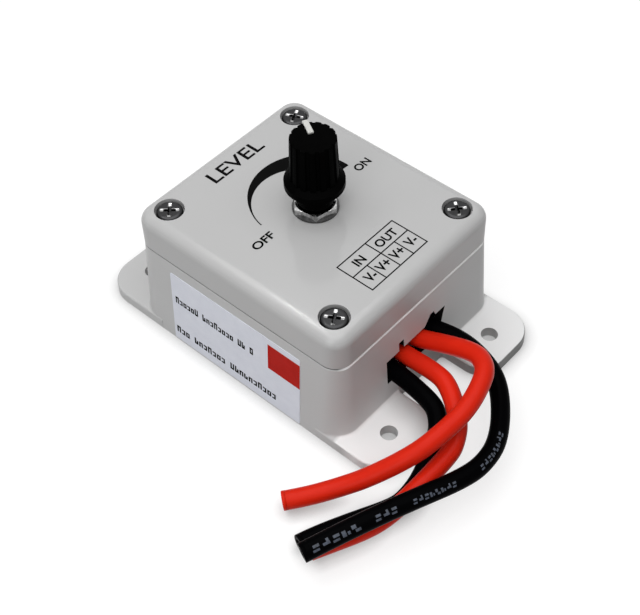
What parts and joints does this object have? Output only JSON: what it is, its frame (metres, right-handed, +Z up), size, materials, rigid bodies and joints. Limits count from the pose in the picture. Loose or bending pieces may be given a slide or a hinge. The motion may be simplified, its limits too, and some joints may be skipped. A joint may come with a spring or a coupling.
{
  "type": "led strip dimmer",
  "caption": "Pale grey flanged plastic box with a black fluted control knob on its lid, screw ears at both ends and red and black insulated wires leaving one end.",
  "frame": {"origin": "under the middle of the box, on the surface that it stands on", "axes": "+X towards the end where the wires leave, +Y to the right of the words on the lid, +Z up along the control shaft"},
  "size_m": [0.1145, 0.0905, 0.059],
  "materials": {
    "case_plastic": "fine moulded texture",
    "screw_steel": "plain steel",
    "label_paper": "coated, printed",
    "pot_alloy": "die-cast",
    "pot_tin": "tinned sheet",
    "phenolic": "pressed laminate",
    "carbon": "printed film",
    "nut_plate": "bright nickel plate",
    "rotor_plastic": "moulded",
    "spring_brass": "stamped",
    "knob_plastic": "satin",
    "pointer_plastic": "moulded",
    "board_laminate": "solder mask",
    "board_steel": "zinc plate",
    "moulding_black": "moulded",
    "can_sleeve": "shrink sleeve",
    "disc_dip": "dipped",
    "resistor_lacquer": "lacquer",
    "lead_plastic": "extruded",
    "wire_black": "extruded",
    "wire_red": "extruded",
    "copper": "tinned strand"
  },
  "bodies": {
    "case": {"lower_case": "case_plastic", "lid": "case_plastic", "lid_screw_1": "screw_steel", "lid_screw_2": "screw_steel", "lid_screw_3": "screw_steel", "lid_screw_4": "screw_steel", "rating_label": "label_paper", "pot_bushing": "pot_alloy", "pot_cover": "pot_tin", "pot_terminal_1": "pot_tin", "pot_terminal_2": "pot_tin", "pot_terminal_3": "pot_tin", "pot_wafer": "phenolic", "pot_track": "carbon", "pot_washer": "nut_plate", "pot_nut": "nut_plate", "circuit_board": "board_laminate", "board_screw_1": "board_steel", "board_screw_2": "board_steel", "board_screw_3": "board_steel", "board_screw_4": "board_steel", "timer_chip": "moulding_black", "switching_transistor": "moulding_black", "flyback_diode": "moulding_black", "reservoir_capacitor": "can_sleeve", "timing_capacitor": "disc_dip", "resistor_1": "resistor_lacquer", "resistor_2": "resistor_lacquer", "resistor_3": "resistor_lacquer", "pot_lead_1": "lead_plastic", "pot_lead_2": "lead_plastic", "pot_lead_3": "lead_plastic", "wire_in_negative": "wire_black", "wire_out_negative": "wire_black", "wire_in_positive": "wire_red", "wire_out_positive": "wire_red", "core_in_negative": "copper", "core_in_positive": "copper", "core_out_positive": "copper", "core_out_negative": "copper"},
    "knob": {"pot_shaft": "pot_alloy", "wiper_rotor": "rotor_plastic", "wiper_contact": "spring_brass", "control_knob": "knob_plastic", "knob_pointer": "pointer_plastic"}
  },
  "joints": [
    {"name": "control_turn", "type": "hinge", "parent": "case", "child": "knob", "pos_m": [0, 0.001, 0.0365], "axis": [0, 0, 1], "range_deg": [-120, 180]}
  ]
}
